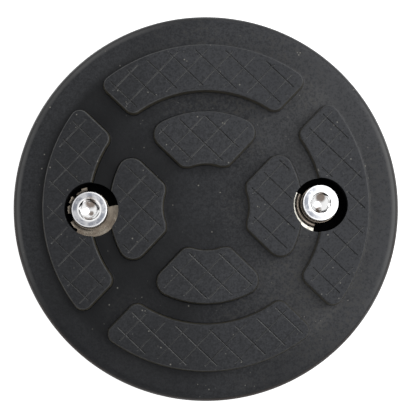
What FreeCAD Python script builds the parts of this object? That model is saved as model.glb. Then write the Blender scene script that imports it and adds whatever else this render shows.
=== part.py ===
import FreeCAD, Part

import math
import os

# A round rubber pad for the end of a vehicle lift's arm, held down by two socket-head screws.
# Millimetres. The origin is the centre of the pad's underside, on the surface it rests on.
# X runs through the two wells, and Z points up out of the gripping face.

# Pad
PAD_D = 127.0
PAD_H = 25.4
LUG_H = 4.4
RIM_ROUND = 3.0
FOOT_BEVEL = 0.8

# Socket-head cap screws, 5/16 in by 1/2 in
SCREW_PITCH = 76.2
SCREW_D = 7.94
SCREW_L = 12.7
HEAD_D = 11.91
HEAD_H = 7.94
HEAD_TOP_BEVEL = 0.7
HEAD_FOOT_BEVEL = 0.25
TIP_BEVEL = 0.8
SOCKET_AF = 6.35
SOCKET_DEPTH = 4.4
SOCKET_MOUTH_D = 7.6
SOCKET_POINT_DEG = 118.0

# Steel plate moulded into the rubber, with a hole for each screw.
# It lies a little off the pad's centre and a little turned, and the screws go with it.
PLATE_COVER = 6.35
PLATE_T = 6.35
PLATE_Z = 6.5
PLATE_SHIFT_X = -0.3
PLATE_SHIFT_Y = 0.5
PLATE_TURN_DEG = 0.5
HOLE_PLAY = 1.16
BOND_GAP = 0.05

# Wells in the rubber, down to the plate from the face and up to it from the underside.
# The rubber has shrunk a little towards the pad's centre since it was moulded.
WELL_ROOM = 2.895
WELL_SHRINK = 0.6

# Outer lugs: arcs about the pad's centre, with ends parallel to the diagonals
RIM_LAND = 10.1
OUTER_LUG_W = 15.0
OUTER_LUG_GAP = 9.8
OUTER_LUG_CORNER = 3.0

# Inner lugs: an arc outside, sides parallel to the diagonals, a shallow hollow towards the centre
CHANNEL_W = 7.0
INNER_LUG_GAP = 8.4
INNER_LUG_FLAT = 13.4
INNER_LUG_HOLLOW = 0.9
INNER_LUG_TIP = 4.4
INNER_LUG_CORNER = 2.0
INNER_LUG_BLEND = 4.0

LUG_DRAFT_DEG = 6.0
LUG_EDGE_BEVEL = 0.4

# Net of fine grooves in the top of every lug, falling to the right one way and rising the other
GROOVE_W = 0.55
GROOVE_DEPTH = 0.4
GROOVE_INSET = 1.7
GROOVE_WELL_INSET = 1.0
GROOVE_FALL_FIRST = 8.0
GROOVE_FALL_PITCH = 6.7
GROOVE_RISE_FIRST_OUTER = 9.9
GROOVE_RISE_FIRST_INNER = 8.4
GROOVE_RISE_PITCH = 6.43
GROOVE_MIN_L = 2.5

# Levels that follow from the sizes above
FACE_Z = PAD_H - LUG_H
SEAT_Z = PLATE_Z + PLATE_T
HEAD_Z = SEAT_Z + HEAD_H
TIP_Z = SEAT_Z - SCREW_L

# Radii and places that follow from the sizes above
PLATE_R = PAD_D / 2 - PLATE_COVER
HOLE_X = SCREW_PITCH / 2
HOLE_R = SCREW_D / 2 + HOLE_PLAY
WELL_X = SCREW_PITCH / 2 - WELL_SHRINK
WELL_R = HEAD_D / 2 + WELL_ROOM
OUTER_LUG_RO = PAD_D / 2 - RIM_LAND
OUTER_LUG_RI = OUTER_LUG_RO - OUTER_LUG_W
INNER_LUG_RO = OUTER_LUG_RI - CHANNEL_W
INNER_LUG_HOLLOW_R = INNER_LUG_FLAT + INNER_LUG_HOLLOW

# How far a cutter or a joined solid runs past a face
OVER = 1.0

UP = FreeCAD.Vector(0, 0, 1)
QUARTER_TURNS = (0, 90, 180, 270)
SIDES = (("left", -1), ("right", 1))


def vec(x, y, z=0.0):
    return FreeCAD.Vector(x, y, z)


def turned(shape, degrees):
    copy = shape.copy()
    copy.rotate(vec(0, 0), UP, degrees)
    return copy


def moved(shape, x, y, z=0.0):
    copy = shape.copy()
    copy.translate(vec(x, y, z))
    return copy


def placed_as_plate(shape):
    """From centred on the pad to where the plate really lies in it."""
    return moved(turned(shape, PLATE_TURN_DEG), PLATE_SHIFT_X, PLATE_SHIFT_Y)


def revolved(points):
    """A solid of revolution about Z from (radius, height) points."""
    corners = [vec(r, 0, z) for r, z in points]
    face = Part.Face(Part.makePolygon(corners + corners[:1]))
    return face.revolve(vec(0, 0), UP, 360)


# Lug outlines. A lug is drawn above the centre and is symmetric about Y; grow moves its outline outwards.

def diagonal_point(u, v):
    """A point u along the diagonal and v across it, towards the lug."""
    half = math.sqrt(0.5)
    return vec((u - v) * half, (u + v) * half)


def mirrored(point):
    return vec(-point.x, point.y, point.z)


def toward(centre, point, distance):
    direction = point.sub(centre)
    direction.normalize()
    return centre.add(direction.multiply(distance))


def corner_arc(centre, start, end, radius):
    chord_middle = vec((start.x + end.x) / 2, (start.y + end.y) / 2)
    return Part.Arc(start, toward(centre, chord_middle, radius), end).toShape()


def mirrored_corner(centre, start, end, radius):
    return corner_arc(mirrored(centre), mirrored(end), mirrored(start), radius)


def outer_lug_wire(grow, z):
    ro = OUTER_LUG_RO + grow
    ri = OUTER_LUG_RI - grow
    side = OUTER_LUG_GAP / 2 - grow
    corner_r = OUTER_LUG_CORNER + grow
    corner_v = OUTER_LUG_GAP / 2 + OUTER_LUG_CORNER
    out_u = math.sqrt((OUTER_LUG_RO - OUTER_LUG_CORNER) ** 2 - corner_v ** 2)
    in_u = math.sqrt((OUTER_LUG_RI + OUTER_LUG_CORNER) ** 2 - corner_v ** 2)
    out_centre = diagonal_point(out_u, corner_v)
    in_centre = diagonal_point(in_u, corner_v)
    out_start = toward(vec(0, 0), out_centre, ro)
    out_end = diagonal_point(out_u, side)
    in_start = diagonal_point(in_u, side)
    in_end = toward(vec(0, 0), in_centre, ri)
    wire = Part.Wire([
        Part.Arc(mirrored(out_start), vec(0, ro), out_start).toShape(),
        corner_arc(out_centre, out_start, out_end, corner_r),
        Part.makeLine(out_end, in_start),
        corner_arc(in_centre, in_start, in_end, corner_r),
        Part.Arc(in_end, vec(0, ri), mirrored(in_end)).toShape(),
        mirrored_corner(in_centre, in_start, in_end, corner_r),
        Part.makeLine(mirrored(in_start), mirrored(out_end)),
        mirrored_corner(out_centre, out_start, out_end, corner_r),
    ])
    wire.translate(vec(0, 0, z))
    return wire


def inner_lug_wire(grow, z):
    ro = INNER_LUG_RO + grow
    hollow_r = INNER_LUG_HOLLOW_R - grow
    flat = INNER_LUG_FLAT - grow
    side = INNER_LUG_GAP / 2 - grow
    tip = min(INNER_LUG_TIP, (INNER_LUG_RO - INNER_LUG_FLAT) / 3)
    tip_r = tip + grow
    corner_r = INNER_LUG_CORNER + grow
    blend_r = INNER_LUG_BLEND + grow
    tip_v = INNER_LUG_GAP / 2 + tip
    tip_u = math.sqrt((INNER_LUG_RO - tip) ** 2 - tip_v ** 2)
    tip_centre = diagonal_point(tip_u, tip_v)
    tip_start = toward(vec(0, 0), tip_centre, ro)
    tip_end = diagonal_point(tip_u, side)
    corner_v = INNER_LUG_GAP / 2 + INNER_LUG_CORNER
    corner_u = (INNER_LUG_FLAT + INNER_LUG_CORNER) / math.sqrt(0.5) - corner_v
    corner_centre = diagonal_point(corner_u, corner_v)
    corner_start = diagonal_point(corner_u, side)
    corner_end = vec(corner_centre.x, flat)
    blend_y = INNER_LUG_FLAT + INNER_LUG_BLEND
    blend_x = math.sqrt((INNER_LUG_HOLLOW_R + INNER_LUG_BLEND) ** 2 - blend_y ** 2)
    blend_centre = vec(blend_x, blend_y)
    blend_start = vec(blend_x, flat)
    blend_end = toward(vec(0, 0), blend_centre, hollow_r)
    wire = Part.Wire([
        Part.Arc(mirrored(tip_start), vec(0, ro), tip_start).toShape(),
        corner_arc(tip_centre, tip_start, tip_end, tip_r),
        Part.makeLine(tip_end, corner_start),
        corner_arc(corner_centre, corner_start, corner_end, corner_r),
        Part.makeLine(corner_end, blend_start),
        corner_arc(blend_centre, blend_start, blend_end, blend_r),
        Part.Arc(blend_end, vec(0, hollow_r), mirrored(blend_end)).toShape(),
        mirrored_corner(blend_centre, blend_start, blend_end, blend_r),
        Part.makeLine(mirrored(blend_start), mirrored(corner_end)),
        mirrored_corner(corner_centre, corner_start, corner_end, corner_r),
        Part.makeLine(mirrored(corner_start), mirrored(tip_end)),
        mirrored_corner(tip_centre, tip_start, tip_end, tip_r),
    ])
    wire.translate(vec(0, 0, z))
    return wire


def lug(wire_at):
    """Drafted walls that root in the pad, and a broken edge round the top."""
    slope = math.tan(math.radians(LUG_DRAFT_DEG))
    root = wire_at((LUG_H + OVER) * slope, FACE_Z - OVER)
    top = wire_at(0, PAD_H)
    solid = Part.makeLoft([root, top], True, True)
    rim = [edge for edge in solid.Edges if edge.BoundBox.ZMin > FACE_Z]
    rim = [edge for edge in rim if edge.BoundBox.ZLength < LUG_H / 2]
    return solid.makeChamfer(LUG_EDGE_BEVEL, rim)


# Grooves

def groove_cutter(start, end):
    """A V that stands over a lug's top, from start to end along its bottom, with sloping ends."""
    along = end.sub(start)
    along.normalize()
    spread = GROOVE_W / 2 * (GROOVE_DEPTH + OVER) / GROOVE_DEPTH
    run = vec(along.x, along.y).multiply(spread)
    half = vec(-along.y, along.x).multiply(spread)
    high = vec(0, 0, PAD_H + OVER)
    low = vec(0, 0, PAD_H - GROOVE_DEPTH)
    a = start.sub(run).add(half).add(high)
    b = start.sub(run).sub(half).add(high)
    c = end.add(run).sub(half).add(high)
    d = end.add(run).add(half).add(high)
    e = start.add(low)
    f = end.add(low)
    faces = []
    for loop in ((a, d, c, b), (a, b, e), (c, d, f), (b, c, f, e), (d, a, e, f)):
        faces.append(Part.Face(Part.makePolygon(list(loop) + [loop[0]])))
    return Part.makeSolid(Part.makeShell(faces))


def groove_segments(field, rise_first):
    """The lines of the net that lie inside the field, as pairs of end points."""
    families = (
        (1, GROOVE_FALL_FIRST, GROOVE_FALL_PITCH),
        (-1, rise_first, GROOVE_RISE_PITCH),
    )
    segments = []
    for sign, first, pitch in families:
        for i in range(math.ceil((OUTER_LUG_RO - first) / pitch)):
            away = vec(sign, 1).normalize()
            foot = vec(away.x, away.y).multiply(first + i * pitch)
            run = vec(-away.y, away.x).multiply(PAD_D / 2)
            line = Part.makeLine(foot.sub(run), foot.add(run))
            for edge in field.common(line).Edges:
                if edge.Length > GROOVE_MIN_L:
                    segments.append((edge.Vertexes[0].Point, edge.Vertexes[-1].Point))
    return segments


def groove_cutters(wire_at, rise_first):
    cutters = []
    margin = Part.makeCylinder(WELL_R + GROOVE_WELL_INSET, 2 * OVER, vec(0, 0, -OVER))
    for angle in QUARTER_TURNS:
        field = turned(Part.Face(wire_at(-GROOVE_INSET, 0)), angle)
        for _, side in SIDES:
            field = field.cut(moved(margin, side * WELL_X, 0))
        for start, end in groove_segments(turned(field, -angle), rise_first):
            cutters.append(turned(groove_cutter(start, end), angle))
    return cutters


# Pieces

def disc():
    """The pad below its lugs, rounded at the rim and bevelled at the foot."""
    body = Part.makeCylinder(PAD_D / 2, FACE_Z)
    rim = [edge for edge in body.Edges if edge.BoundBox.ZMin > FACE_Z / 2]
    body = body.makeFillet(RIM_ROUND, rim)
    foot = [edge for edge in body.Edges if edge.BoundBox.ZMax < FACE_Z / 4 and edge.Closed]
    return body.makeChamfer(FOOT_BEVEL, foot)


def rubber_pad():
    lugs = []
    for wire_at in (outer_lug_wire, inner_lug_wire):
        shape = lug(wire_at)
        lugs.extend(turned(shape, angle) for angle in QUARTER_TURNS)
    body = disc().multiFuse(lugs).removeSplitter()
    pocket = placed_as_plate(Part.makeCylinder(PLATE_R + BOND_GAP, PLATE_T, vec(0, 0, PLATE_Z)))
    well = Part.makeCylinder(WELL_R, PAD_H + 2 * OVER, vec(0, 0, -OVER))
    wells = [moved(well, side * WELL_X, 0) for _, side in SIDES]
    body = body.cut([pocket] + wells)
    grooves = groove_cutters(outer_lug_wire, GROOVE_RISE_FIRST_OUTER)
    grooves += groove_cutters(inner_lug_wire, GROOVE_RISE_FIRST_INNER)
    return body.cut(grooves)


def backing_plate():
    plate = Part.makeCylinder(PLATE_R, PLATE_T, vec(0, 0, PLATE_Z))
    hole = Part.makeCylinder(HOLE_R, PLATE_T + 2 * OVER, vec(0, 0, PLATE_Z - OVER))
    return placed_as_plate(plate.cut([moved(hole, side * HOLE_X, 0) for _, side in SIDES]))


def hex_prism(across_flats, z, height):
    radius = across_flats / math.sqrt(3)
    corners = []
    for i in range(6):
        angle = math.radians(60 * i + 30)
        corners.append(vec(radius * math.cos(angle), radius * math.sin(angle), z))
    return Part.Face(Part.makePolygon(corners + corners[:1])).extrude(vec(0, 0, height))


def screw():
    """A screw on the Z axis: plain cylinders stand for its knurl and thread."""
    head_r = HEAD_D / 2
    body = revolved([
        (0, TIP_Z),
        (SCREW_D / 2 - TIP_BEVEL, TIP_Z),
        (SCREW_D / 2, TIP_Z + TIP_BEVEL),
        (SCREW_D / 2, SEAT_Z),
        (head_r - HEAD_FOOT_BEVEL, SEAT_Z),
        (head_r, SEAT_Z + HEAD_FOOT_BEVEL),
        (head_r, HEAD_Z - HEAD_TOP_BEVEL / 2),
        (head_r - HEAD_TOP_BEVEL, HEAD_Z),
        (0, HEAD_Z),
    ])
    socket = hex_prism(SOCKET_AF, HEAD_Z - SOCKET_DEPTH, SOCKET_DEPTH + OVER)
    drill_r = SOCKET_AF / 2
    drill_h = drill_r / math.tan(math.radians(SOCKET_POINT_DEG / 2))
    drill = Part.makeCone(0, drill_r, drill_h, vec(0, 0, HEAD_Z - SOCKET_DEPTH - drill_h))
    mouth_r = SOCKET_MOUTH_D / 2
    mouth = Part.makeCone(0, mouth_r + OVER, mouth_r + OVER, vec(0, 0, HEAD_Z - mouth_r))
    return body.cut([socket, drill, mouth])


def main():
    os.makedirs("parts", exist_ok=True)
    pieces = {
        "rubber_pad": rubber_pad(),
        "backing_plate": backing_plate(),
    }
    for name, side in SIDES:
        pieces["screw_" + name] = placed_as_plate(moved(screw(), side * HOLE_X, 0))
    for node, shape in pieces.items():
        shape.exportStep("parts/" + node + ".step")
        print(node, shape.isValid(), len(shape.Solids), round(shape.Volume, 2))


main()
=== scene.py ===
"""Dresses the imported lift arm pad: rubber moulding, steel plate, two screws and a plain stage."""

import math
import random

import bmesh
import bpy
from bpy.props import FloatProperty, FloatVectorProperty, IntProperty, PointerProperty
from mathutils import Matrix, Vector, noise
from mathutils.geometry import intersect_line_sphere_2d


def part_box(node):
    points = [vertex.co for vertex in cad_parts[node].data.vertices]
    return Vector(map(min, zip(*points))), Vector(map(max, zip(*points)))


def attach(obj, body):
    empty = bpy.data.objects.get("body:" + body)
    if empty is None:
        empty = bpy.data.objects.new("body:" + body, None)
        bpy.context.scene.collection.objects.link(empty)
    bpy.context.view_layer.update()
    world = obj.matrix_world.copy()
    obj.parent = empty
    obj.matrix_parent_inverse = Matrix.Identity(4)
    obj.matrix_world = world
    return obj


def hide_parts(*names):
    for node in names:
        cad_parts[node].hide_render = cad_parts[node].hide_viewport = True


bl_info = {
    "name": "Lift arm rubber pad",
    "version": (1, 0, 0),
    "blender": (4, 5, 0),
    "location": "View3D > Sidebar > Lift Pad",
    "description": "Rubber moulding, backing plate, screws and stage of a lift arm pad",
    "category": "Object",
}

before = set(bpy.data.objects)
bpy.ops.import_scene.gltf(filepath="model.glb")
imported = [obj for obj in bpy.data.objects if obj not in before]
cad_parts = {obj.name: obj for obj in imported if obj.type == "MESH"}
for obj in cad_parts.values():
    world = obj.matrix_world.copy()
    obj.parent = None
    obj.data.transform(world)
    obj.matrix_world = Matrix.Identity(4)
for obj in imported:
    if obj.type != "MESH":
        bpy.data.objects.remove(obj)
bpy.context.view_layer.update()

MM = 0.001
UP = Vector((0, 0, 1))
CENTRE = Vector((0, 0))
PAD_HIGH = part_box("rubber_pad")[1]
PLATE_LOW, PLATE_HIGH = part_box("backing_plate")
SIDES = ("left", "right")
QUARTERS = [math.radians(90 * i) for i in range(4)]

# How far a cutter stands out past its cut, how near two points become one, and how near a well's
# wall a corner is on it.
OVER = 1 * MM
HAIR = 0.001 * MM
NEAR = 0.05 * MM
# How deep the lugs are rooted in the disc, how far below the face the wells are painted in shade,
# the play between the plate and its pocket, and how far a screw's shank reaches into its head.
ROOTED = 0.4 * MM
DARK_BELOW = 0.5 * MM
PLATE_PLAY = 0.05 * MM
SHANK_IN_HEAD = 0.5 * MM

# The rubber film left on the plate in each well by the mould: from and to in degrees, and how near
# it comes to the screw's axis in millimetres. The last value in each list is bare plate.
BARE = 10.3
FILM = {
    "left": (
        (12, 97, 6.15), (97, 112, 7.8), (112, 130, 7.15), (130, 140, 6.3), (140, 158, 7.55),
        (158, 165, 6.85), (165, 187, 7.45), (187, 208, 6.25), (208, 236, 7.5), (236, 372, BARE),
    ),
    "right": ((-104, 151, 6.15), (151, 256, BARE)),
}
# Where the film lies in the rubber, past the bare plate, how wide its ring is before it is pulled
# in, and its ragged edge: how fine each wave is and how far it goes, in millimetres.
FILM_BED = 0.8 * MM
FILM_BAND = 1 * MM
FILM_WAVES = ((9, 0.35), (31, 0.12))

# Painted light on the grooves' walls that face +Y, how light it is on the falling and the rising
# grooves for the lugs at the right, top, left and bottom, and the painted shade on all their walls
# that face -Y.
GROOVE_PAINTED_LIGHT = ((0.15, 1), (0.38, 1), (0.32, 0.6), (1, 0.55))
GROOVE_PAINTED_SHADE = 0.05
# The share that chance leaves of a groove's depth at each end, and of its painted light on each
# face.
DEPTH_CHANCE = (0.75, 1.1)
LIGHT_CHANCE = (0.7, 1)

# Brown patches in the sockets: (side, across, up, radius), in millimetres from the screw's axis.
SOCKET_PATCHES = (
    ("left", 0.3, 2.4, 2.3),
    ("left", 0.4, -1.0, 1.1),
    ("right", 0.3, 2.1, 2.1),
    ("right", -0.5, -2.0, 1.3),
)

# The stage, in metres: half the floor's width, the gap under the pad, and each light's name,
# place and width.
FLOOR_HALF = 2.5
FLOOR_GAP = 0.1 * MM
LIGHTS = (
    ("overhead", (0.35, 0.15, 1.0), 0.7),
    ("key", (0.50, 0.18, 0.30), 0.3),
)


def size(name, description, default):
    return FloatProperty(
        name=name, description=description, default=default, min=0, precision=5, unit="LENGTH"
    )


def turn(name, description, degrees):
    return FloatProperty(
        name=name, description=description, default=math.radians(degrees), subtype="ANGLE"
    )


def colour(name, description, default):
    return FloatVectorProperty(
        name=name, description=description, default=default, size=3, min=0, max=1, subtype="COLOR"
    )


def position(name, description, default):
    return FloatVectorProperty(
        name=name, description=description, default=default, subtype="TRANSLATION", unit="LENGTH"
    )


class RubberSizes(bpy.types.PropertyGroup):
    radius: size("Radius", "Half the pad's width", PAD_HIGH.x)
    height: size("Height", "From the underside to the lug tops", PAD_HIGH.z)
    lug_height: size("Lug height", "How far the lugs stand over the face", 4.4 * MM)
    rim_round: size("Rim round", "Rounding of the face's outer edge", 3.0 * MM)
    foot_bevel: size("Foot bevel", "Bevel round the underside", 0.8 * MM)
    rim_land: size("Rim land", "Plain rim outside the outer lugs", 10.1 * MM)
    outer_width: size("Outer lug width", "Across an outer lug, towards the centre", 15.0 * MM)
    outer_gap: size("Outer lug gap", "Between the ends of two outer lugs", 9.8 * MM)
    outer_corner: size("Outer lug corner", "Corner radius of the outer lugs", 3.0 * MM)
    channel: size("Channel", "Round channel between outer and inner lugs", 7.0 * MM)
    inner_gap: size("Inner lug gap", "Between the sides of two inner lugs", 8.4 * MM)
    inner_flat: size("Inner lug flat", "From the centre to an inner lug's flat", 13.4 * MM)
    inner_hollow: size("Inner lug hollow", "Depth of the hollow in that flat", 0.9 * MM)
    inner_tip: size("Inner lug tip", "Corner radius at an inner lug's wide end", 4.4 * MM)
    inner_corner: size("Inner lug corner", "Corner radius at its narrow end", 2.0 * MM)
    inner_blend: size("Inner lug blend", "Radius where the flat meets the hollow", 4.0 * MM)
    draft: turn("Draft", "Slope of the lugs' walls", 6)
    lug_foot: size("Lug foot round", "Fillet between a lug and the face", 0.55 * MM)
    lug_edge: size("Lug edge round", "Rounding round a lug's top", 0.6 * MM)
    well_x: size("Well place", "From the pad's centre to a well's centre", 37.5 * MM)
    well_radius: size("Well radius", "Radius of the two wells", 8.85 * MM)
    well_edge: size("Well edge", "Worn edge round a well", 0.3 * MM)
    film: size("Film", "Thickness of the rubber film on the plate", 0.35 * MM)
    groove_width: size("Groove width", "Across a groove at the lug's top", 0.58 * MM)
    fall_depth: size("Falling groove depth", "Depth of a falling groove", 0.5 * MM)
    rise_depth: size("Rising groove depth", "Depth of a rising groove", 0.34 * MM)
    groove_inset: size("Groove inset", "From a lug's edge to its grooves", 1.7 * MM)
    groove_well_inset: size("Groove well inset", "From a well to the grooves", 1.0 * MM)
    groove_least: size("Shortest groove", "Lines shorter than this are left out", 2.5 * MM)
    fall_first: size("First falling groove", "Its distance from the centre", 8.0 * MM)
    fall_pitch: size("Falling pitch", "Between two falling grooves", 6.7 * MM)
    rise_outer: size("First rising groove, outer", "Its distance from the centre", 9.9 * MM)
    rise_inner: size("First rising groove, inner", "Its distance from the centre", 8.4 * MM)
    rise_pitch: size("Rising pitch", "Between two rising grooves", 6.43 * MM)
    facet: size("Facet", "Longest run of a rounded outline", 0.7 * MM)


class PlateSizes(bpy.types.PropertyGroup):
    hole: size("Screw hole", "Radius of the hole for a screw", 5.13 * MM)
    ring_start: size("Ring start", "Inner radius of the ring pressed round a head", 6.15 * MM)
    ring_end: size("Ring end", "Outer radius of that ring", 8.2 * MM)
    ring_left: size("Left ring depth", "How deep the left ring is pressed", 0.1 * MM)
    ring_right: size("Right ring depth", "How deep the right ring is pressed", 0.32 * MM)


class ScrewSizes(bpy.types.PropertyGroup):
    head_radius: size("Head radius", "Half the head's width", 5.955 * MM)
    head_height: size("Head height", "From its seat to its top", 7.94 * MM)
    shank_radius: size("Shank radius", "Half the thread's outer width", 3.97 * MM)
    pitch: size("Thread pitch", "Between two turns of the thread", 1.411 * MM)
    thread_depth: size("Thread depth", "From crest to root", 0.85 * MM)
    tip_bevel: size("Tip bevel", "Bevel at the screw's end", 0.8 * MM)
    top_bevel: size("Top bevel", "Bevel round the head's top", 0.25 * MM)
    foot_bevel: size("Foot bevel", "Bevel round the head's foot", 0.25 * MM)
    knurl: size("Knurl", "Depth of the knurl round the head", 0.2 * MM)
    knurl_fade: size("Knurl fade", "Length in which the knurl sets in and runs out", 0.3 * MM)
    plain_band: size("Plain band", "From the head's top down to its knurl", 1.2 * MM)
    teeth: IntProperty(name="Teeth", description="Teeth of the knurl", default=66, min=12)
    socket_flats: size("Socket", "Across the flats of the hex socket", 6.35 * MM)
    socket_depth: size("Socket depth", "Depth of its flats", 4.4 * MM)
    socket_mouth: size("Socket mouth", "Radius of its bevelled mouth", 3.5 * MM)
    socket_point: turn("Socket point", "Angle of the drill point under it", 118)
    left_turn: turn("Left screw's turn", "How far the left screw is turned", 24)
    right_turn: turn("Right screw's turn", "How far the right screw is turned", 0)


class PadColours(bpy.types.PropertyGroup):
    rubber: colour("Rubber", "Clean rubber in the channels", (0.004, 0.0045, 0.0055))
    # Painted shade: the rubber darkened for down in the wells.
    deep: colour("Deep rubber", "Rubber down in the wells", (0.0015, 0.0015, 0.0018))
    worn: colour("Worn rubber", "Rubber on the lug tops", (0.05, 0.052, 0.0575))
    # Grey bloom, and painted sheen that lightens the channels towards the right.
    bloom_and_sheen: colour("Bloom", "Dull grey bloom in the channels", (0.047, 0.049, 0.055))
    # Scuffs, and the painted highlight and sheen on the lug edges, the rim and the channels.
    scuff_and_highlight: colour("Scuffs", "Worn edges and rim", (0.125, 0.125, 0.125))
    # Light dust in the grooves, and the painted highlight on their walls that face +Y.
    groove: colour("Grooves", "Light dust in the grooves", (0.2, 0.2, 0.2))
    dust: colour("Dust", "Brown dust in the channels and on the walls", (0.082, 0.072, 0.048))
    edge: colour("Browned edge", "Aged brown rubber at the rim's edge", (0.03, 0.022, 0.019))
    specks: colour("Specks", "Light specks of dust", (0.30, 0.29, 0.26))
    plate: colour("Plate", "Clean steel of the plate", (0.80, 0.78, 0.70))
    dull: colour("Dull plate", "Dulled steel of the plate at the left", (0.26, 0.235, 0.195))
    # Brown stain on the plate, and brown patches in the sockets.
    stain: colour("Stain", "Brown stain on the plate and in the sockets", (0.15, 0.105, 0.075))
    zinc: colour("Zinc", "Plating of the screws", (0.66, 0.66, 0.67))
    bright: colour("Bright zinc", "Plating in the sockets", (0.93, 0.93, 0.93))
    tarnish: colour("Tarnish", "Dull places on the screws", (0.20, 0.21, 0.24))
    floor: colour("Floor", "Plain pale floor", (0.85, 0.85, 0.85))


# Helpers


def screw_axis(side):
    low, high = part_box("screw_" + side)
    return (low + high).xy / 2


def face_height(pad):
    """The height of the face that the lugs stand on."""
    return pad.height - pad.lug_height


def piece_from(bm, name):
    mesh = bpy.data.meshes.new(name)
    bm.to_mesh(mesh)
    bm.free()
    piece = bpy.data.objects.new(name, mesh)
    bpy.context.scene.collection.objects.link(piece)
    return piece


def combine(target, bm, operation, *materials):
    """Joins the solid in bm to the target, cuts it away or keeps their overlap."""
    tool = piece_from(bm, "tool")
    for material in materials:
        tool.data.materials.append(material)
    modifier = target.modifiers.new("combine", "BOOLEAN")
    modifier.operation = operation
    modifier.object = tool
    modifier.solver = "MANIFOLD"
    bpy.context.view_layer.update()
    before = target.data
    evaluated = target.evaluated_get(bpy.context.evaluated_depsgraph_get())
    target.data = bpy.data.meshes.new_from_object(evaluated)
    target.modifiers.clear()
    bpy.data.meshes.remove(before)
    bpy.data.meshes.remove(tool.data)
    if not target.data.polygons:
        raise RuntimeError(f"{operation} left nothing of {target.name}")


def set_materials(piece, *materials):
    """Gives the piece these materials, with every face on the first."""
    piece.data.materials.clear()
    for material in materials:
        piece.data.materials.append(material)


def smooth_by_angle(piece, degrees):
    """Smooth faces with sharp edges where they meet at more than this angle."""
    bm = bmesh.new()
    bm.from_mesh(piece.data)
    bmesh.ops.remove_doubles(bm, verts=bm.verts, dist=HAIR)
    for face in bm.faces:
        face.smooth = True
    for edge in bm.edges:
        edge.smooth = edge.calc_face_angle(math.pi) < math.radians(degrees)
    bm.to_mesh(piece.data)
    bm.free()
    weighted = piece.modifiers.new("flat faces stay flat", "WEIGHTED_NORMAL")
    weighted.keep_sharp = True


def closed(bm):
    """Fills the open ends and turns the faces outwards."""
    bmesh.ops.holes_fill(bm, edges=[edge for edge in bm.edges if edge.is_boundary], sides=0)
    bmesh.ops.recalc_face_normals(bm, faces=bm.faces)
    return bm


def move(bm, vec):
    bmesh.ops.translate(bm, verts=bm.verts, vec=vec)


def thicken(bm, height):
    """Draws flat faces up into a solid."""
    drawn = bmesh.ops.extrude_face_region(bm, geom=bm.faces[:])
    lifted = [g for g in drawn["geom"] if isinstance(g, bmesh.types.BMVert)]
    bmesh.ops.translate(bm, verts=lifted, vec=(0, 0, height))


def bevel(bm, edges, offset, segments, clamp_overlap=False):
    bmesh.ops.bevel(
        bm,
        geom=edges,
        offset=offset,
        segments=segments,
        profile=0.5,
        affect="EDGES",
        material=-1,
        clamp_overlap=clamp_overlap,
    )


def cylinder(x, y, low, high, radius, segments):
    bm = bmesh.new()
    bmesh.ops.create_cone(
        bm,
        cap_ends=True,
        segments=segments,
        radius1=radius,
        radius2=radius,
        depth=high - low,
        matrix=Matrix.Translation((x, y, (low + high) / 2)),
    )
    return bm


def plate_disc(play):
    """The backing plate's disc, with this much play round it."""
    middle = (PLATE_LOW + PLATE_HIGH) / 2
    radius = (PLATE_HIGH.x - PLATE_LOW.x) / 2 + play
    return cylinder(middle.x, middle.y, PLATE_LOW.z, PLATE_HIGH.z, radius, 240)


def lathe(points, segments):
    """A solid of revolution about Z from (radius, height) points, on the axis at both ends."""
    bm = bmesh.new()
    chain = [bm.verts.new((r, 0, z)) for r, z in points]
    links = [bm.edges.new(pair) for pair in zip(chain, chain[1:])]
    bmesh.ops.spin(
        bm,
        geom=chain + links,
        cent=(0, 0, 0),
        axis=UP,
        angle=math.tau,
        steps=segments,
        use_merge=True,
    )
    bmesh.ops.remove_doubles(bm, verts=bm.verts, dist=HAIR)
    bmesh.ops.recalc_face_normals(bm, faces=bm.faces)
    return bm


# Lug outlines. A lug is drawn above the centre, as the right half of its outline in arcs of
# (centre, start, end), and mirrored. grow moves the outline outwards.


def diagonal_point(u, v):
    """A point u along the diagonal and v across it, towards the lug."""
    return Vector((u - v, u + v)) * math.sqrt(0.5)


def lug_corner(circle, radius, half_gap, grow):
    """A corner's centre, and its ends on a circle and on the lug's side. Its radius is below 0
    where it lies outside the circle."""
    v = half_gap + abs(radius)
    u = math.sqrt((circle - radius) ** 2 - v**2)
    centre = diagonal_point(u, v)
    on_circle = centre.normalized() * (circle + grow if radius > 0 else circle - grow)
    return centre, on_circle, diagonal_point(u, half_gap - grow)


def outer_lug_arcs(pad, grow):
    ro = pad.radius - pad.rim_land
    ri = ro - pad.outer_width
    half_gap = pad.outer_gap / 2
    out_centre, out_start, out_end = lug_corner(ro, pad.outer_corner, half_gap, grow)
    in_centre, in_end, in_start = lug_corner(ri, -pad.outer_corner, half_gap, grow)
    return (
        (CENTRE, Vector((0, ro + grow)), out_start),
        (out_centre, out_start, out_end),
        (in_centre, in_start, in_end),
        (CENTRE, in_end, Vector((0, ri - grow))),
    )


def inner_lug_arcs(pad, grow):
    ro = pad.radius - pad.rim_land - pad.outer_width - pad.channel
    half_gap = pad.inner_gap / 2
    hollow = pad.inner_flat + pad.inner_hollow
    flat = pad.inner_flat - grow
    tip_centre, tip_start, tip_end = lug_corner(ro, pad.inner_tip, half_gap, grow)
    corner_v = half_gap + pad.inner_corner
    corner_u = (pad.inner_flat + pad.inner_corner) / math.sqrt(0.5) - corner_v
    corner_centre = diagonal_point(corner_u, corner_v)
    corner_start = diagonal_point(corner_u, half_gap - grow)
    corner_end = Vector((corner_centre.x, flat))
    blend_y = pad.inner_flat + pad.inner_blend
    blend_x = math.sqrt((hollow + pad.inner_blend) ** 2 - blend_y**2)
    blend_centre = Vector((blend_x, blend_y))
    blend_start = Vector((blend_x, flat))
    blend_end = blend_centre.normalized() * (hollow - grow)
    return (
        (CENTRE, Vector((0, ro + grow)), tip_start),
        (tip_centre, tip_start, tip_end),
        (corner_centre, corner_start, corner_end),
        (blend_centre, blend_start, blend_end),
        (CENTRE, blend_end, Vector((0, hollow - grow))),
    )


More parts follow.
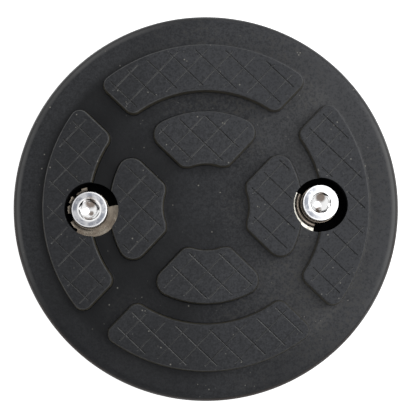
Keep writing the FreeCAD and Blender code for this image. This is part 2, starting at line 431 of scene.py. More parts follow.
def outline_face(arcs, facet):
    """A bmesh with the outline's one flat face, at height 0 and facing up."""
    bm = bmesh.new()
    last = None
    for centre, start, end in arcs:
        angle = -(start - centre).angle_signed(end - centre)
        steps = max(2, math.ceil(abs(angle) * (start - centre).length / facet))
        first = bm.verts.new(start.to_3d())
        if last:
            bm.edges.new((last, first))
        spun = bmesh.ops.spin(
            bm, geom=[first], cent=centre.to_3d(), axis=UP, angle=angle, steps=steps
        )
        last = next(g for g in spun["geom_last"] if isinstance(g, bmesh.types.BMVert))
    bmesh.ops.mirror(bm, geom=bm.verts[:] + bm.edges[:], axis="X", merge_dist=10 * HAIR)
    bmesh.ops.remove_doubles(bm, verts=bm.verts, dist=HAIR)
    bmesh.ops.contextual_create(bm, geom=bm.edges[:])
    for face in bm.faces:
        if face.normal.z < 0:
            face.normal_flip()
    return bm


# The rubber moulding


def lug_steps(pad):
    """The (inward, upward) steps of a lug's side: its foot fillet, wall and rounded edge."""
    draft, foot, edge = pad.draft, pad.lug_foot, pad.lug_edge
    sweep = math.pi / 2 - draft
    foot_parts, edge_parts = 4, 5
    foot_turns = [sweep * i / foot_parts for i in range(foot_parts + 1)]
    edge_turns = [draft + sweep * i / edge_parts for i in range(edge_parts + 1)]
    steps = [
        (foot * (math.sin(b) - math.sin(a)), foot * (math.cos(a) - math.cos(b)))
        for a, b in zip(foot_turns, foot_turns[1:])
    ]
    wall = pad.lug_height - foot * (1 - math.cos(sweep)) - edge * (1 - math.sin(draft))
    steps.append((wall * math.tan(draft), wall))
    steps += [
        (edge * (math.cos(a) - math.cos(b)), edge * (math.sin(b) - math.sin(a)))
        for a, b in zip(edge_turns, edge_turns[1:])
    ]
    return steps


def lug_solids(pad):
    """All eight lugs, rooted a little way down in the disc."""
    bm = bmesh.new()
    tangent = math.tan((math.pi / 2 - pad.draft) / 2)
    foot_grow = pad.lug_height * math.tan(pad.draft) + pad.lug_foot * tangent
    for arcs_at in (outer_lug_arcs, inner_lug_arcs):
        lug = outline_face(arcs_at(pad, foot_grow), pad.facet)
        move(lug, UP * (face_height(pad) - ROOTED))
        top = lug.faces[:]
        for inward, upward in [(HAIR, ROOTED), *lug_steps(pad)]:
            bmesh.ops.inset_region(
                lug,
                faces=top,
                thickness=inward,
                depth=upward,
                use_boundary=True,
                use_even_offset=True,
            )
        closed(lug)
        mesh = bpy.data.meshes.new("lug")
        lug.to_mesh(mesh)
        lug.free()
        for _ in QUARTERS:
            mesh.transform(Matrix.Rotation(math.pi / 2, 4, "Z"))
            bm.from_mesh(mesh)
        bpy.data.meshes.remove(mesh)
    return bm


def disc(pad):
    bm = bmesh.new()
    bmesh.ops.create_circle(bm, cap_ends=True, segments=360, radius=pad.radius)
    thicken(bm, face_height(pad))
    bmesh.ops.recalc_face_normals(bm, faces=bm.faces)
    middle = pad.height / 2
    for top, offset, segments in ((True, pad.rim_round, 10), (False, pad.foot_bevel, 2)):
        ring = [
            edge
            for edge in bm.edges
            if all((v.co.z > middle) == top for v in edge.verts)
            and any(len(f.verts) > 4 for f in edge.link_faces)
        ]
        bevel(bm, ring, offset, segments)
    return bm


def film_reach(side, spot):
    """How near the film comes to the screw's axis in a spot's direction, and that direction."""
    bearing = math.degrees(math.atan2(spot.y, spot.x))
    near = next(
        r
        for low, high, r in FILM[side]
        if low <= bearing <= high or low <= bearing + 360 <= high
    )
    direction = spot.normalized()
    if near == BARE:
        return near * MM, direction
    ragged = sum(noise.noise((direction * fine).to_3d()) * far for fine, far in FILM_WAVES)
    return (near + abs(ragged)) * MM, direction


def film_ring(pad, side):
    """The film in one well, from inside the rubber in to its ragged edge near the screw."""
    outer = BARE * MM + FILM_BED
    bm = bmesh.new()
    for radius in (outer, outer - FILM_BAND):
        bmesh.ops.create_circle(bm, segments=300, radius=radius)
    bmesh.ops.bridge_loops(bm, edges=bm.edges[:])
    thicken(bm, 2 * pad.film)
    for vert in bm.verts:
        if vert.co.xy.length < outer - FILM_BAND / 2:
            reach, direction = film_reach(side, vert.co.xy)
            vert.co.xy = direction * reach
    bmesh.ops.recalc_face_normals(bm, faces=bm.faces)
    move(bm, screw_axis(side).to_3d() + UP * (PLATE_HIGH.z - pad.film))
    return bm


def clear_of(segments, centre, radius):
    """What is left of the segments outside a circle."""
    kept = []
    for start, end in segments:
        hits = [h for h in intersect_line_sphere_2d(start, end, centre, radius) if h]
        hits.sort(key=lambda hit: (hit - start).length)
        stops = [start, *hits, end]
        for a, b in zip(stops, stops[1:]):
            if ((a + b) / 2 - centre).length > radius:
                kept.append((a, b))
    return kept


def groove_lines(field, sign, first, pitch, reach):
    """Where the lines of one direction of the net cross a lug's field."""
    segments = []
    away = Vector((sign, 1, 0)).normalized()
    for i in range(math.ceil((reach - first) / pitch)):
        copy = field.copy()
        cut = bmesh.ops.bisect_plane(
            copy,
            geom=copy.verts[:] + copy.edges[:] + copy.faces[:],
            plane_co=away * (first + i * pitch),
            plane_no=away,
        )
        for part in cut["geom_cut"]:
            if isinstance(part, bmesh.types.BMEdge):
                segments.append(tuple(v.co.xy for v in part.verts))
        copy.free()
    return segments


def groove_cutter(bm, start, end, turned, pad, dice):
    """A V that stands over a lug's top; its faces' material says which way it runs."""
    along = (end - start).normalized()
    across = Vector((-along.y, along.x))
    course = turned.to_3x3() @ along.to_3d()
    falling = course.x * course.y < 0
    full = pad.fall_depth if falling else pad.rise_depth
    depths = [full * dice.uniform(*DEPTH_CHANCE) for _ in range(2)]
    points = []
    for corner, outward, depth in ((start, -along, depths[0]), (end, along, depths[1])):
        spread = pad.groove_width / 2 * (depth + OVER) / full
        high = corner + outward * spread
        points.append(corner.to_3d() + UP * (pad.height - depth))
        for edge in (across, -across):
            points.append((high + edge * spread).to_3d() + UP * (pad.height + OVER))
    corners = [bm.verts.new(turned @ point) for point in points]
    for made in bmesh.ops.convex_hull(bm, input=corners)["geom"]:
        if isinstance(made, bmesh.types.BMFace):
            made.material_index = 1 if falling else 2


def groove_cutters(pad, sign, dice):
    """The cutters of one direction of the net, over all eight lugs."""
    bm = bmesh.new()
    nets = ((outer_lug_arcs, pad.rise_outer), (inner_lug_arcs, pad.rise_inner))
    for arcs_at, rise_first in nets:
        first, pitch = (
            (pad.fall_first, pad.fall_pitch) if sign > 0 else (rise_first, pad.rise_pitch)
        )
        field = outline_face(arcs_at(pad, -pad.groove_inset), pad.facet)
        lines = groove_lines(field, sign, first, pitch, pad.radius - pad.rim_land)
        field.free()
        for angle in QUARTERS:
            turned = Matrix.Rotation(angle, 4, "Z")
            segments = lines
            for side in (-1, 1):
                well = (turned.inverted() @ Vector((side * pad.well_x, 0, 0))).xy
                segments = clear_of(segments, well, pad.well_radius + pad.groove_well_inset)
            for start, end in segments:
                if (end - start).length > pad.groove_least:
                    groove_cutter(bm, start, end, turned, pad, dice)
    bmesh.ops.recalc_face_normals(bm, faces=bm.faces)
    return bm


def paint_groove_light(piece, dice):
    """Notes how light every face that the groove cutters left is painted: painted light on walls
    that face +Y, painted shade on the rest.
    """
    groove_light_marks = piece.data.attributes.new("groove", "FLOAT", "FACE")
    for face in piece.data.polygons:
        if face.material_index:
            bearing = math.atan2(face.center.y, face.center.x)
            light = GROOVE_PAINTED_LIGHT[round(bearing / (math.pi / 2)) % 4][face.material_index - 1]
            light *= dice.uniform(*LIGHT_CHANCE)
            groove_light_marks.data[face.index].value = light if face.normal.y > 0 else GROOVE_PAINTED_SHADE


def on_well_wall(face, pad):
    """True where all of the face's corners are on a well's wall."""
    well = Vector((math.copysign(pad.well_x, face.verts[0].co.x), 0))
    return all(abs((v.co.xy - well).length - pad.well_radius) < NEAR for v in face.verts)


def wear_well_edges(piece, pad):
    """Rounds the edges where the wells break through the lugs and the face."""
    bm = bmesh.new()
    bm.from_mesh(piece.data)
    lowest = face_height(pad) - DARK_BELOW
    upright = 0.02
    edges = []
    for edge in bm.edges:
        if min(v.co.z for v in edge.verts) < lowest:
            continue
        walls = [abs(f.normal.z) < upright and on_well_wall(f, pad) for f in edge.link_faces]
        if walls.count(True) == 1:
            edges.append(edge)
    bevel(bm, edges, pad.well_edge, 2, clamp_overlap=True)
    bm.to_mesh(piece.data)
    bm.free()


def paint_well_shade(piece, pad):
    """Gives the film and the wells' walls below the lugs the second material, their painted shade.
    """
    for face in piece.data.polygons:
        well = Vector((math.copysign(pad.well_x, face.center.x), 0))
        inside = (face.center.xy - well).length < pad.well_radius + NEAR
        below = face.center.z < face_height(pad) - DARK_BELOW
        face.material_index = int(inside and below)


class LIFTPAD_OT_rubber(bpy.types.Operator):
    """Moulds the rubber: disc, lugs, wells with their film, and the net of grooves"""

    bl_idname = "liftpad.rubber"
    bl_label = "Rubber moulding"

    def execute(self, context):
        pad = context.scene.liftpad_rubber
        dice = random.Random(7)
        rubber = piece_from(disc(pad), "rubber_moulding")
        combine(rubber, lug_solids(pad), "UNION")
        for side in (-1, 1):
            x = side * pad.well_x
            well = cylinder(x, 0, -OVER, pad.height + OVER, pad.well_radius, 144)
            combine(rubber, well, "DIFFERENCE")
        wear_well_edges(rubber, pad)
        for side in SIDES:
            combine(rubber, film_ring(pad, side), "UNION")
        combine(rubber, plate_disc(PLATE_PLAY), "DIFFERENCE")
        skin = rubber_finish(pad, context.scene.liftpad_colours)
        # The painted shade for the wells.
        deep = well_shade_finish(context.scene.liftpad_colours)
        # Falling grooves are cut with the second slot, and rising ones with the third.
        set_materials(rubber, skin, deep, skin)
        for sign in (1, -1):
            grooves = groove_cutters(pad, sign, dice)
            combine(rubber, grooves, "DIFFERENCE", skin, deep, skin)
        paint_groove_light(rubber, dice)
        smooth_by_angle(rubber, 32)
        set_materials(rubber, skin, deep)
        paint_well_shade(rubber, pad)
        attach(rubber, "root")
        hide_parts("rubber_pad")
        return {"FINISHED"}


# The plate


def pressed_ring(sizes, depth):
    """A round-bottomed ring that stands over the plate's top, to be cut away from it."""
    steps = 12
    width = sizes.ring_end - sizes.ring_start
    sweep = [
        (sizes.ring_start + width * i / steps, -depth * math.sin(math.pi * i / steps))
        for i in range(steps + 1)
    ]
    loop = [(sizes.ring_start, OVER), *sweep, (sizes.ring_end, OVER)]
    return lathe([(r, PLATE_HIGH.z + z) for r, z in loop + loop[:1]], 144)


class LIFTPAD_OT_plate(bpy.types.Operator):
    """Makes the backing plate, with its screw holes and the ring pressed round each head"""

    bl_idname = "liftpad.plate"
    bl_label = "Backing plate"

    def execute(self, context):
        sizes = context.scene.liftpad_plate
        plate = piece_from(plate_disc(0), "steel_plate")
        low, high = PLATE_LOW.z - OVER, PLATE_HIGH.z + OVER
        for side, depth in zip(SIDES, (sizes.ring_left, sizes.ring_right)):
            axis = screw_axis(side)
            hole = cylinder(axis.x, axis.y, low, high, sizes.hole, 96)
            combine(plate, hole, "DIFFERENCE")
            ring = pressed_ring(sizes, depth)
            move(ring, axis.to_3d())
            combine(plate, ring, "DIFFERENCE")
        smooth_by_angle(plate, 25)
        set_materials(plate, plate_finish(context.scene.liftpad_colours))
        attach(plate, "root")
        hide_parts("backing_plate")
        return {"FINISHED"}


# The screws


def shank_blank(sizes, low, seat):
    """The shank as turned, to be cut with the thread."""
    crest, join = sizes.shank_radius, seat + SHANK_IN_HEAD
    bevelled = [(crest - sizes.tip_bevel, low), (crest, low + sizes.tip_bevel)]
    return lathe([(0, low), *bevelled, (crest, join), (0, join)], 96)


def head_blank(sizes, seat, top):
    """The head as turned, its top edge bulged a little and its side pressed to a knurl."""
    radius, edge = sizes.head_radius, sizes.top_bevel
    low, high, fade = seat + sizes.foot_bevel, top - sizes.plain_band, sizes.knurl_fade
    side = [(radius, z) for z in (low, low + fade, high - fade, high, top - edge)]
    foot = [(0, seat), (radius - sizes.foot_bevel, seat)]
    crown = [(radius - 0.35 * edge, top - 0.3 * edge), (radius - edge, top), (0, top)]
    head = lathe(foot + side + crown, 2 * sizes.teeth)
    step = math.pi / sizes.teeth
    for vert in head.verts:
        knurled = low + fade / 2 < vert.co.z < high - fade / 2
        if knurled and round(math.atan2(vert.co.y, vert.co.x) / step) % 2:
            vert.co.xy *= 1 - sizes.knurl / radius
    return head


def thread(sizes, low, high):
    """A right-handed thread, as one V spun upwards, cut off flat at both ends."""
    bm = bmesh.new()
    crest = sizes.shank_radius
    root = crest - sizes.thread_depth
    # The V, as radii and heights in pitches. It starts below the tip, and is spun past the top.
    corners = ((root, 0), (root, 0.12), (crest, 0.5), (crest, 0.62), (root, 1))
    start = low - 1.5 * sizes.pitch
    turns = math.ceil((high - low) / sizes.pitch) + 2
    round_steps = 40
    chain = [bm.verts.new((r, 0, start + t * sizes.pitch)) for r, t in corners]
    links = [bm.edges.new(pair) for pair in zip(chain, chain[1:])]
    bmesh.ops.spin(
        bm,
        geom=chain + links,
        cent=(0, 0, 0),
        axis=UP,
        dvec=UP * (sizes.pitch / round_steps),
        angle=math.tau * turns,
        steps=round_steps * turns,
    )
    bmesh.ops.remove_doubles(bm, verts=bm.verts, dist=5 * HAIR)
    for height, normal in ((low, -UP), (high, UP)):
        bmesh.ops.bisect_plane(
            bm,
            geom=bm.verts[:] + bm.edges[:] + bm.faces[:],
            plane_co=UP * height,
            plane_no=normal,
            clear_outer=True,
        )
    return closed(bm)


def socket_cutters(sizes, top):
    """The hexagon, the drill point under it and the bevel of its mouth."""
    high = top + OVER
    floor = top - sizes.socket_depth
    drill = sizes.socket_flats / 2
    point = drill / math.tan(sizes.socket_point / 2)
    mouth = sizes.socket_mouth
    return (
        cylinder(0, 0, floor, high, sizes.socket_flats / math.sqrt(3), 6),
        lathe([(0, floor - point), (drill, floor), (drill, floor + OVER), (0, floor + OVER)], 96),
        lathe([(0, top - mouth), (mouth + OVER, high), (0, high)], 180),
    )


class LIFTPAD_OT_screws(bpy.types.Operator):
    """Makes the two socket-head cap screws, with knurl, thread and socket"""

    bl_idname = "liftpad.screws"
    bl_label = "Socket-head screws"

    def execute(self, context):
        sizes = context.scene.liftpad_screws
        for side, turned in zip(SIDES, (sizes.left_turn, sizes.right_turn)):
            low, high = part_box("screw_" + side)
            seat = high.z - sizes.head_height
            spun = thread(sizes, low.z, seat + SHANK_IN_HEAD)
            screw = piece_from(spun, "cap_screw_" + side)
            combine(screw, shank_blank(sizes, low.z, seat), "INTERSECT")
            combine(screw, head_blank(sizes, seat, high.z), "UNION")
            for cutter in socket_cutters(sizes, high.z):
                combine(screw, cutter, "DIFFERENCE")
            place = Matrix.Translation(screw_axis(side).to_3d())
            screw.data.transform(place @ Matrix.Rotation(turned, 4, "Z"))
            smooth_by_angle(screw, 28)
            set_materials(screw, screw_finish(context.scene.liftpad_colours))
            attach(screw, "root")
            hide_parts("screw_" + side)
        return {"FINISHED"}


# Materials


class Finish:
    """A material in the making: its nodes, and short ways to add and join them."""

    def __init__(self, name, roughness, metallic=0.0, specular=0.5):
        self.material = bpy.data.materials.new(name)
        self.material.use_nodes = True
        self.tree = self.material.node_tree
        self.shader = self.tree.nodes["Principled BSDF"]
        self.shade(Roughness=roughness, Metallic=metallic, Specular_IOR_Level=specular)
        self.place = self.node("ShaderNodeTexCoord").outputs["Object"]

    def node(self, kind, **settings):
        made = self.tree.nodes.new(kind)
        for key, value in settings.items():
            setattr(made, key, value)
        return made

    def feed(self, made, inputs):
        for key, value in inputs.items():
            if isinstance(value, bpy.types.NodeSocket):
                self.tree.links.new(value, made.inputs[key])
            else:
                made.inputs[key].default_value = value
        return made

    def noise(self, scale, detail=4, rough=0.55):
        made = self.node("ShaderNodeTexNoise")
        inputs = {"Vector": self.place, "Scale": scale, "Detail": detail, "Roughness": rough}
        return self.feed(made, inputs).outputs["Fac"]

    def ramp(self, value, low, high, to_low=0.0, to_high=1.0):
        """Maps low..high to to_low..to_high, smoothly and held at both ends."""
        made = self.node("ShaderNodeMapRange", interpolation_type="SMOOTHSTEP")
        return self.feed(made, {0: value, 1: low, 2: high, 3: to_low, 4: to_high}).outputs[0]

    def math(self, operation, a, b=0.0):
        made = self.node("ShaderNodeMath", operation=operation)
        return self.feed(made, {0: a, 1: b}).outputs[0]

    def times(self, first, *others):
        for other in others:
            first = self.math("MULTIPLY", first, other)
        return first

    def tint(self, base, colour, *factors):
        """Mixes the base towards a colour, by the product of the factors and at most wholly."""
        made = self.node("ShaderNodeMix", data_type="RGBA")
        base, colour = [
            c if isinstance(c, bpy.types.NodeSocket) else (*c, 1.0) for c in (base, colour)
        ]
        return self.feed(made, {0: self.times(*factors), 6: base, 7: colour}).outputs[2]

    def split(self):
        return self.feed(self.node("ShaderNodeSeparateXYZ"), {0: self.place}).outputs[:3]

    def distance(self, point):
        """How far from the upright axis through a point, in metres."""
        moved = self.node("ShaderNodeVectorMath", operation="SUBTRACT")
        self.feed(moved, {0: self.place, 1: (point.x, point.y, 0)})
        flat = self.node("ShaderNodeVectorMath", operation="MULTIPLY")
        self.feed(flat, {0: moved.outputs[0], 1: (1, 1, 0)})
        measured = self.node("ShaderNodeVectorMath", operation="LENGTH")
        return self.feed(measured, {0: flat.outputs[0]}).outputs["Value"]

    def screw_distance(self):
        """How far from the nearer screw's axis, in metres."""
        return self.math("MINIMUM", *[self.distance(screw_axis(side)) for side in SIDES])

    def bump(self, height, distance, normal=None):
        made = self.node("ShaderNodeBump")
        self.feed(made, {"Height": height, "Distance": distance, "Strength": 1.0})
        if normal is not None:
            self.feed(made, {"Normal": normal})
        return made.outputs["Normal"]

    def shade(self, **inputs):
        self.feed(self.shader, {key.replace("_", " "): v for key, v in inputs.items()})
        return self.material


class RubberFinish(Finish):
    """The moulded rubber's finish: the patterns that its layers share, and the layers."""

    def __init__(self, pad, colours):
        super().__init__("moulded rubber", 0.5, specular=0.16)
        self.pad, self.colours = pad, colours
        self.x, self.y, self.z = self.split()
        self.patches = self.noise(38, 5, 0.62)
        self.grain = self.noise(750, 6, 0.72)
        self.fine = self.noise(1700, 3, 0.6)
        self.mottle = self.ramp(self.math("ADD", self.grain, self.fine), 0.75, 1.25, 0.5, 1.4)
        # Along from left to right, on a wandering line.
        slant = self.math("ADD", self.x, self.times(self.y, 0.06))
        wander = self.ramp(self.noise(26, 3), 0.3, 0.7, -18 * MM, 18 * MM)
        self.along = self.math("ADD", slant, wander)
        # Out from the middle, the plain rim, and the rim's upper left and right, which get painted
        # highlight and sheen.
        self.out = self.distance(CENTRE)
        self.border = self.ramp(self.out, pad.radius - 10.5 * MM, pad.radius - 7 * MM)
        upper_left = self.math("SUBTRACT", self.times(self.y, 0.45), self.x)
        upper_left = self.ramp(upper_left, 30 * MM, 62 * MM)
        right = self.ramp(self.x, 48 * MM, 62 * MM, 0, 0.9)
        self.lit_flank = self.math("MAXIMUM", upper_left, right)

    def channels(self):
        """The face and the lugs' walls: black at the left, dull, dusty and lit by painted sheen at
        the right.
        """
        colours = self.colours
        face = face_height(self.pad)
        # Painted sheen with the dust and bloom: more of them from left to right.
        dust_and_sheen = self.ramp(self.along, -50 * MM, 55 * MM)
        base = self.tint(colours.rubber, colours.bloom_and_sheen, dust_and_sheen, self.mottle)
        drifts = self.ramp(self.noise(30, 3), 0.46, 0.62, 0.05, 0.35)
        base = self.tint(base, colours.dust, self.ramp(self.grain, 0.45, 0.68), dust_and_sheen, drifts)
        # Painted sheen: lighter towards the right, less on the rim.
        right = self.ramp(self.x, 0, 52 * MM, 0, 0.32)
        inside = self.ramp(self.border, 0, 1, 1, 0.55)
        base = self.tint(base, colours.scuff_and_highlight, self.mottle, right, inside)
        walls = self.ramp(self.z, face + 0.2 * MM, face + 1.5 * MM)
        return self.tint(base, colours.dust, walls, self.ramp(self.grain, 0.3, 0.7, 0.4, 0.95))

    def lug_tops(self):
        """The lugs' tops: worn grey with painted sheen, scuffed edges with a painted highlight, and
        light dust with painted light and shade in the grooves.
        """
        colours, height = self.colours, self.pad.height
        # Worn grey, more of it to the right as painted sheen, and less towards the bottom.
        wear_and_sheen = self.ramp(self.along, -60 * MM, 52 * MM, 0.4, 1)
        upper = self.ramp(self.y, -52 * MM, -20 * MM, 0.72, 1)
        tops = self.tint(colours.rubber, colours.worn, self.mottle, wear_and_sheen, upper)
        # Painted highlight on the rounded top edges, with scuffs: patchy, stronger at the left and
        # towards the top.
        scuffs = self.ramp(self.noise(240, 4, 0.65), 0.36, 0.6, 0.5, 1)
        edges = self.ramp(self.z, height - 0.03 * MM, height - 0.1 * MM)
        left = self.ramp(self.along, -60 * MM, 60 * MM, 0.8, 0.35)
        upper = self.ramp(self.y, -50 * MM, 5 * MM, 0.5, 1)
        tops = self.tint(tops, colours.scuff_and_highlight, edges, left, upper, scuffs)
        # The grooves: light dust with a painted highlight on their walls that face +Y, and painted
        # shade on the rest.
        groove_light_marks = self.node("ShaderNodeAttribute", attribute_name="groove").outputs["Fac"]
        return self.tint(tops, colours.groove, groove_light_marks, self.ramp(scuffs, 0.5, 1, 0.7, 1))

    def rim(self, base):
        """The plain rim: painted sheen and highlight at the flanks, painted shade at the lower
        right and along a crease, and aged brown round its edge.
        """
        pad, colours = self.pad, self.colours
        # Worn grey on the land, with painted sheen at the flanks.
        land_wear_and_sheen = self.ramp(self.lit_flank, 0, 1, 0.21, 0.46)
        base = self.tint(base, colours.worn, self.mottle, land_wear_and_sheen, self.border)
        # Painted shade at the lower right.
        lower = self.ramp(self.y, -62 * MM, -30 * MM, 0.5, 0)
        right = self.ramp(self.x, -5 * MM, 25 * MM)
        base = self.tint(base, colours.rubber, lower, right, self.border)
        # Painted highlight on the rim's rounding at the flanks.
        rim_highlight = self.ramp(self.out, pad.radius - 2.8 * MM, pad.radius - 1.7 * MM)
        patchy = self.ramp(self.patches, 0.3, 0.6, 0.7, 1.2)
        base = self.tint(base, colours.scuff_and_highlight, rim_highlight, self.lit_flank, 0.7, patchy)
        # Painted shade: a dark line where a crease would be, near the edge.
        crease_shade = self.math("ABSOLUTE", self.math("SUBTRACT", self.out, pad.radius - 0.85 * MM))
        base = self.tint(base, colours.rubber, self.ramp(crease_shade, 0.1 * MM, 0.5 * MM, 0.6, 0))
        edge = self.ramp(self.out, pad.radius - 1.1 * MM, pad.radius - 0.45 * MM)
        high = self.ramp(self.z, pad.height - 12 * MM, pad.height - 6.2 * MM)
        lower = self.ramp(self.y, -30 * MM, 40 * MM, 1, 0.1)
        patchy = self.ramp(self.patches, 0.35, 0.6, 0.35, 1)
        return self.tint(base, colours.edge, edge, high, lower, patchy)

    def specks(self, base):
        cells = self.node("ShaderNodeTexVoronoi")
        self.feed(cells, {"Vector": self.place, "Scale": 700})
        dots = self.ramp(cells.outputs["Distance"], 0.12, 0.22, 1, 0)
        some = self.ramp(self.noise(330, 2), 0.6, 0.68, 0, 0.8)
        return self.tint(base, self.colours.specks, dots, some)

    def skin(self):
        """Fine grain, coarse grain and a slow unevenness, one on the other."""
        skin = self.bump(self.fine, 0.02 * MM)
        skin = self.bump(self.grain, 0.06 * MM, skin)
        return self.bump(self.noise(60, 3, 0.5), 0.3 * MM, skin)


def rubber_finish(pad, colours):
    """Black rubber, cleaner to the left and duller to the right with dust and painted sheen, with
    worn and dusty edges, painted highlights on edges and rim, and painted shade at the rim and in
    the grooves.
    """
    finish = RubberFinish(pad, colours)
    tops = finish.ramp(finish.z, pad.height - 0.9 * MM, pad.height - 0.5 * MM)
    base = finish.tint(finish.channels(), finish.lug_tops(), tops)
    base = finish.specks(finish.rim(base))
    rough = finish.ramp(finish.patches, 0.3, 0.7, 0.42, 0.58)
    return finish.shade(Base_Color=base, Roughness=rough, Normal=finish.skin())


def well_shade_finish(colours):
    """Painted shade: the rubber down in the wells, darker and duller, where no light or wear
    reaches.
    """
    finish = Finish("rubber in the wells", 0.75, specular=0.05)
    grain = finish.noise(700, 5, 0.7)
    base = finish.tint(colours.deep, colours.rubber, finish.ramp(grain, 0.4, 0.75))
    return finish.shade(Base_Color=base, Normal=finish.bump(grain, 0.08 * MM))


def plate_finish(colours):
    """Steel, stained in the ring round each screw and duller at the left."""
    finish = Finish("stained steel", 0.3, 1.0)
    x, y, _ = finish.split()
    middle = (-5 * MM, 5 * MM)
    steel = finish.tint(colours.plate, colours.dull, finish.ramp(x, *middle, 1, 0))
    blots = finish.noise(260, 5, 0.65)
    lower = finish.ramp(y, -7 * MM, 2 * MM, 0.75, 0.35)
    blotted = finish.ramp(blots, 0.3, 0.62)
    stain = finish.times(blotted, lower, finish.ramp(x, *middle, 0.8, 0.35))
    pressed = finish.ramp(finish.screw_distance(), 7.7 * MM, 8.3 * MM, 1, 0)
    pressed = finish.times(pressed, finish.ramp(x, *middle, 0.3, 0.82))
    stain = finish.math("MAXIMUM", stain, pressed)
    base = finish.tint(steel, colours.stain, stain)
    rough = finish.ramp(blots, 0.3, 0.7, 0.18, 0.42)
    skin = finish.bump(finish.noise(900, 3), 0.02 * MM)
    return finish.shade(Base_Color=base, Roughness=rough, Normal=skin)


def screw_finish(colours):
    """Zinc plate: mottled grey on the heads, bright at their rims and in the sockets."""
    finish = Finish("bright zinc", 0.22, 1.0)
    x, _, z = finish.split()
    near = finish.screw_distance()
    right = screw_axis("right").x
    blots = finish.noise(420, 4, 0.6)
    past_socket = finish.ramp(near, 3.8 * MM, 4.3 * MM)
    short_of_rim = finish.ramp(near, 5.3 * MM, 5.6 * MM, 1, 0)
    less_right = finish.ramp(x, right - 4 * MM, right, 1, 0.45)
    blotted = finish.ramp(blots, 0.36, 0.6, 0.3, 1)
    dull = finish.times(past_socket, short_of_rim, less_right, blotted)
    base = finish.tint(colours.zinc, colours.tarnish, dull)
    socket = finish.ramp(near, 3.7 * MM, 4.0 * MM, 1, 0)
    base = finish.tint(base, colours.bright, socket)
    # Brown patches in the sockets.
    for side, across, up, radius in SOCKET_PATCHES:
        spot = screw_axis(side) + Vector((across, up)) * MM
        mark = finish.ramp(finish.distance(spot), 0.5 * radius * MM, radius * MM, 0.9, 0)
        patchy = finish.ramp(blots, 0.3, 0.5, 0.5, 1)
        base = finish.tint(base, colours.stain, mark, patchy)
    seat = PLATE_HIGH.z
    below = finish.ramp(z, seat - 1 * MM, seat + 4 * MM, 0.5, 0)
    base = finish.tint(base, colours.tarnish, below)
    rough = finish.ramp(blots, 0.3, 0.75, 0.14, 0.3)
    rough = finish.times(rough, finish.ramp(near, 3.6 * MM, 4.1 * MM, 0.5, 1))
    skin = finish.bump(finish.noise(900, 3), 0.005 * MM)
    return finish.shade(Base_Color=base, Roughness=rough, Normal=skin)


# Stage


class StageSettings(bpy.types.PropertyGroup):
    camera: position("Camera", "Where the camera stands", (-6 * MM, -37 * MM, 681 * MM))
    aim: position("Aim", "The point that the camera looks at", (0.6 * MM, -0.4 * MM, 25.4 * MM))
    lens: FloatProperty(name="Lens", description="Focal length in mm", default=174.0)
    roll: turn("Roll", "How far the pad is turned in the picture", 1.2)
    overhead: FloatProperty(name="Overhead", description="Overhead light in watts", default=2.6)
    key: FloatProperty(name="Key", description="Light from the upper right in watts", default=1.1)
    world: FloatProperty(name="Room", description="Light from all round", default=0.45)
    glow: FloatProperty(name="Glow", description="Light added to the floor as seen", default=0.9)


def seen_ray(tree):
    """1 for rays from the camera, in gloss and through glass, and otherwise 0."""
    path = tree.nodes.new("ShaderNodeLightPath").outputs
    seen = path["Is Camera Ray"]
    for name in ("Is Glossy Ray", "Is Transmission Ray"):
        either = tree.nodes.new("ShaderNodeMath")
        either.operation = "MAXIMUM"
        tree.links.new(seen, either.inputs[0])
        tree.links.new(path[name], either.inputs[1])
        seen = either.outputs[0]
    return seen


def floor_finish(colours, brightness):
    """Near white, and brightened only for what the camera and the gloss see."""
    finish = Finish("pale floor", 0.9, specular=0.0)
    finish.shade(Base_Color=(*colours.floor, 1.0))
    plain = finish.shader.outputs[0]
    glow = finish.feed(finish.node("ShaderNodeEmission"), {"Strength": brightness}).outputs[0]
    both = finish.feed(finish.node("ShaderNodeAddShader"), {0: plain, 1: glow}).outputs[0]
    choices = {0: seen_ray(finish.tree), 1: plain, 2: both}
    chosen = finish.feed(finish.node("ShaderNodeMixShader"), choices).outputs[0]
    finish.feed(finish.tree.nodes["Material Output"], {"Surface": chosen})
    return finish.material


def white_room(strength):
    """A white world that lights the pad at this strength, and is seen at a strength of 1."""
    world = bpy.data.worlds.new("white room")
    bpy.context.scene.world = world
    world.use_nodes = True
    tree = world.node_tree
    back = tree.nodes["Background"]
    back.inputs["Color"].default_value = (1, 1, 1, 1)
    level = tree.nodes.new("ShaderNodeMapRange")
    level.inputs["To Min"].default_value = strength
    tree.links.new(seen_ray(tree), level.inputs["Value"])
    tree.links.new(level.outputs[0], back.inputs["Strength"])


def soft_light(name, place, width, watts):
    light = bpy.data.lights.new(name, "AREA")
    light.shape = "SQUARE"
    light.size = width
    light.energy = watts
    lamp = bpy.data.objects.new(name, light)
    lamp.location = place
    lamp.rotation_euler = (-Vector(place)).to_track_quat("-Z", "Y").to_euler()
    lamp.visible_camera = False
    bpy.context.scene.collection.objects.link(lamp)


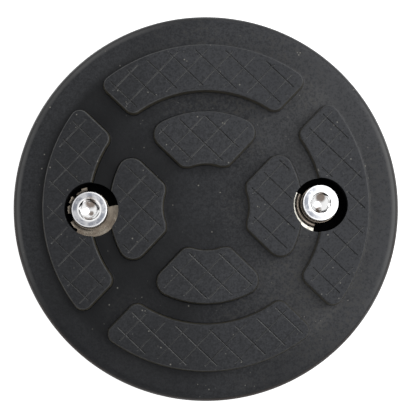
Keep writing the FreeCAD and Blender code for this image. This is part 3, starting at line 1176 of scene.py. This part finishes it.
class LIFTPAD_OT_stage(bpy.types.Operator):
    """Sets up the floor, the soft lights, the white room and the camera"""

    bl_idname = "liftpad.stage"
    bl_label = "Stage"

    def execute(self, context):
        stage = context.scene.liftpad_stage
        context.scene.view_settings.view_transform = "Standard"
        bm = bmesh.new()
        bmesh.ops.create_grid(bm, x_segments=1, y_segments=1, size=FLOOR_HALF)
        move(bm, -UP * FLOOR_GAP)
        floor = piece_from(bm, "floor")
        set_materials(floor, floor_finish(context.scene.liftpad_colours, stage.glow))
        white_room(stage.world)
        for name, place, width in LIGHTS:
            soft_light(name, place, width, getattr(stage, name))
        lens = bpy.data.cameras.new("camera")
        lens.lens = stage.lens
        lens.sensor_width = 36
        camera = bpy.data.objects.new("camera", lens)
        place, aim = Vector(stage.camera), Vector(stage.aim)
        back = (place - aim).normalized()
        up = Vector((math.sin(stage.roll), math.cos(stage.roll), 0))
        right = up.cross(back).normalized()
        up = back.cross(right)
        turned = Matrix((right, up, back)).transposed().to_4x4()
        camera.matrix_world = Matrix.Translation(place) @ turned
        context.scene.collection.objects.link(camera)
        context.scene.camera = camera
        return {"FINISHED"}


class LIFTPAD_PT_panel(bpy.types.Panel):
    """Lists the pad's pieces and their sizes"""

    bl_idname = "LIFTPAD_PT_panel"
    bl_label = "Lift arm pad"
    bl_space_type = "VIEW_3D"
    bl_region_type = "UI"
    bl_category = "Lift Pad"

    def draw(self, context):
        for group in GROUPS:
            settings = getattr(context.scene, group)
            box = self.layout.box()
            for key in settings.bl_rna.properties.keys():
                if key not in ("rna_type", "name"):
                    box.prop(settings, key)
        for operator in OPERATORS:
            self.layout.operator(operator.bl_idname)


GROUPS = {
    "liftpad_rubber": RubberSizes,
    "liftpad_plate": PlateSizes,
    "liftpad_screws": ScrewSizes,
    "liftpad_colours": PadColours,
    "liftpad_stage": StageSettings,
}
OPERATORS = (LIFTPAD_OT_rubber, LIFTPAD_OT_plate, LIFTPAD_OT_screws, LIFTPAD_OT_stage)
CLASSES = (*GROUPS.values(), *OPERATORS, LIFTPAD_PT_panel)


def register():
    for cls in CLASSES:
        bpy.utils.register_class(cls)
    for name, cls in GROUPS.items():
        setattr(bpy.types.Scene, name, PointerProperty(type=cls))


def unregister():
    for name in GROUPS:
        delattr(bpy.types.Scene, name)
    for cls in reversed(CLASSES):
        bpy.utils.unregister_class(cls)


def main():
    register()
    bpy.ops.liftpad.rubber()
    bpy.ops.liftpad.plate()
    bpy.ops.liftpad.screws()
    bpy.ops.liftpad.stage()


if __name__ == "__main__":
    main()
